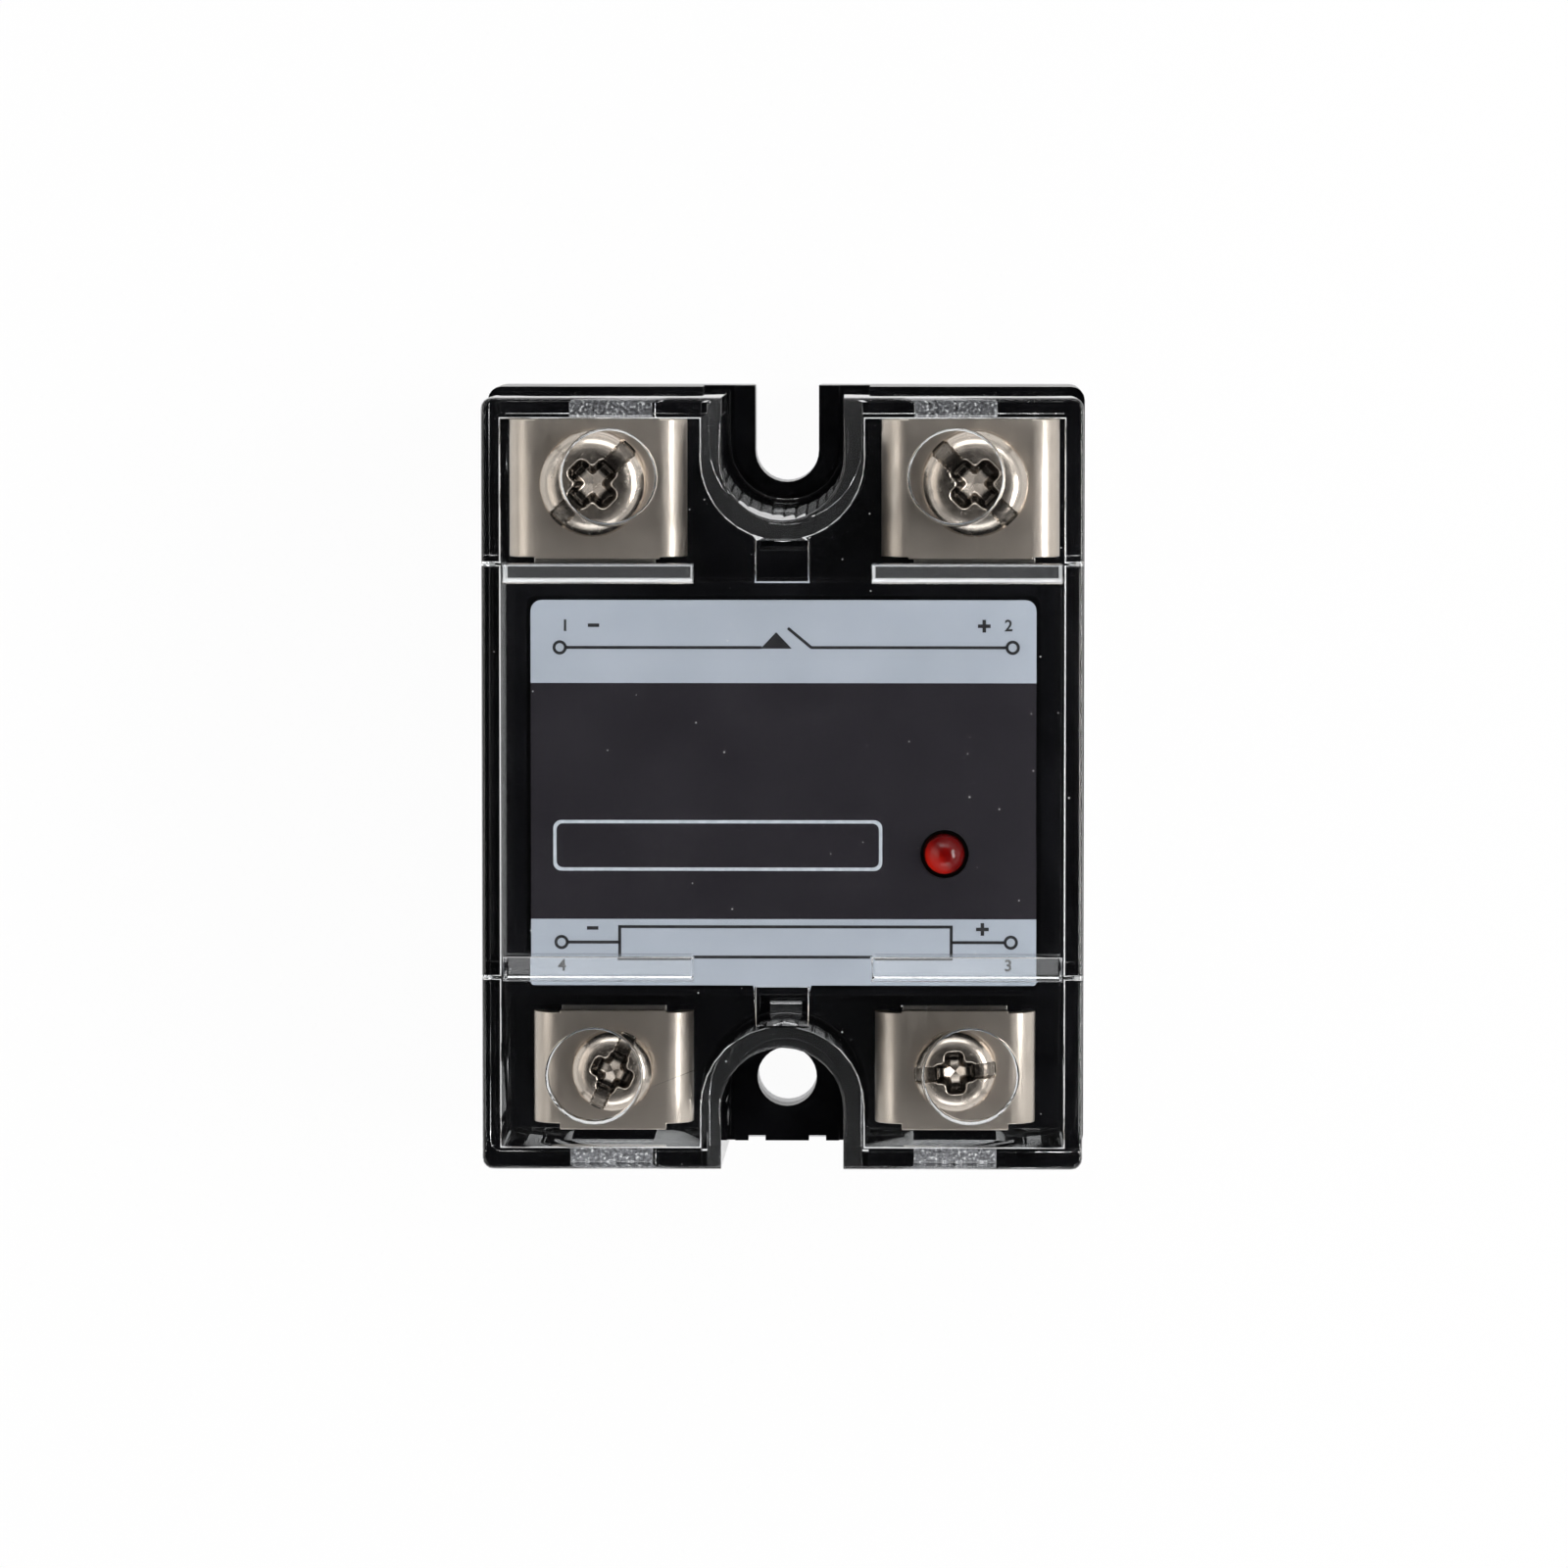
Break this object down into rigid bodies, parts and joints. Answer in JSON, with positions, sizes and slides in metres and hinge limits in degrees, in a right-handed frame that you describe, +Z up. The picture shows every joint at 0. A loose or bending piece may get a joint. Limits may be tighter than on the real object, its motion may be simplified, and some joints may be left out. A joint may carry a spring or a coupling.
{
  "type": "solid state relay",
  "caption": "Panel-mount solid state relay: black moulded body on a metal plate, screw clamp terminals and a clear clip-fitted cover.",
  "frame": {"origin": "centre of the base plate's underside", "axes": "+Z up through the cover, +Y towards the output terminals and the open mounting slot, +X to the right seen from above"},
  "size_m": [0.0448, 0.0574, 0.028],
  "materials": {
    "plated_plate": "plated, satin",
    "black_moulding": "moulded, semi gloss",
    "clear_moulding": "clear moulded plastic, polished",
    "label_sheet": "printed sheet, satin",
    "red_lens": "tinted clear",
    "nickel": "nickel plated",
    "tinned_copper": "tinned",
    "white_ceramic": "fired",
    "grey_resin": "cast",
    "board_green": "solder mask",
    "device_black": "moulded",
    "resistor_tan": "lacquered"
  },
  "bodies": {
    "relay_body": {"base_plate": "plated_plate", "housing": "black_moulding", "label": "label_sheet", "led_indicator": "red_lens", "output_terminal_1": "tinned_copper", "output_terminal_2": "tinned_copper", "input_terminal_3": "tinned_copper", "input_terminal_4": "tinned_copper", "ceramic_substrate": "white_ceramic", "power_transistor_1": "device_black", "power_transistor_2": "device_black", "potting_resin": "grey_resin", "circuit_board": "board_green", "optocoupler": "device_black", "driver_transistor": "device_black", "input_resistor": "resistor_tan", "gate_resistor": "resistor_tan", "surge_diode": "device_black"},
    "cover_body": {"cover": "clear_moulding"},
    "clamp_1": {"output_clamp_1": "nickel"},
    "screw_1": {"output_screw_1": "nickel"},
    "clamp_2": {"output_clamp_2": "nickel"},
    "screw_2": {"output_screw_2": "nickel"},
    "clamp_3": {"input_clamp_3": "nickel"},
    "screw_3": {"input_screw_3": "nickel"},
    "clamp_4": {"input_clamp_4": "nickel"},
    "screw_4": {"input_screw_4": "nickel"}
  },
  "joints": [
    {"name": "cover_lift", "type": "slide", "parent": "relay_body", "child": "cover_body", "axis": [0, 0, 1], "range_m": [0, 0.018]},
    {"name": "clamp_1_rise", "type": "slide", "parent": "relay_body", "child": "clamp_1", "axis": [0, 0, 1], "range_m": [0, 0.0028]},
    {"name": "screw_1_turn", "type": "hinge", "parent": "clamp_1", "child": "screw_1", "pos_m": [-0.0141, 0.0218, 0.0198], "axis": [0, 0, 1], "range_deg": [0, 1440]},
    {"name": "clamp_2_rise", "type": "slide", "parent": "relay_body", "child": "clamp_2", "axis": [0, 0, 1], "range_m": [0, 0.0028]},
    {"name": "screw_2_turn", "type": "hinge", "parent": "clamp_2", "child": "screw_2", "pos_m": [0.0141, 0.0218, 0.0198], "axis": [0, 0, 1], "range_deg": [0, 1440]},
    {"name": "clamp_3_rise", "type": "slide", "parent": "relay_body", "child": "clamp_3", "axis": [0, 0, 1], "range_m": [0, 0.0024]},
    {"name": "screw_3_turn", "type": "hinge", "parent": "clamp_3", "child": "screw_3", "pos_m": [0.0127, -0.0218, 0.0198], "axis": [0, 0, 1], "range_deg": [0, 1440]},
    {"name": "clamp_4_rise", "type": "slide", "parent": "relay_body", "child": "clamp_4", "axis": [0, 0, 1], "range_m": [0, 0.0024]},
    {"name": "screw_4_turn", "type": "hinge", "parent": "clamp_4", "child": "screw_4", "pos_m": [-0.0127, -0.0218, 0.0198], "axis": [0, 0, 1], "range_deg": [0, 1440]}
  ],
  "couplings": [
    {"joint": "screw_1_turn", "follows": "clamp_1_rise", "rad_per_m": 8976},
    {"joint": "screw_2_turn", "follows": "clamp_2_rise", "rad_per_m": 8976},
    {"joint": "screw_3_turn", "follows": "clamp_3_rise", "rad_per_m": 10472},
    {"joint": "screw_4_turn", "follows": "clamp_4_rise", "rad_per_m": 10472}
  ]
}
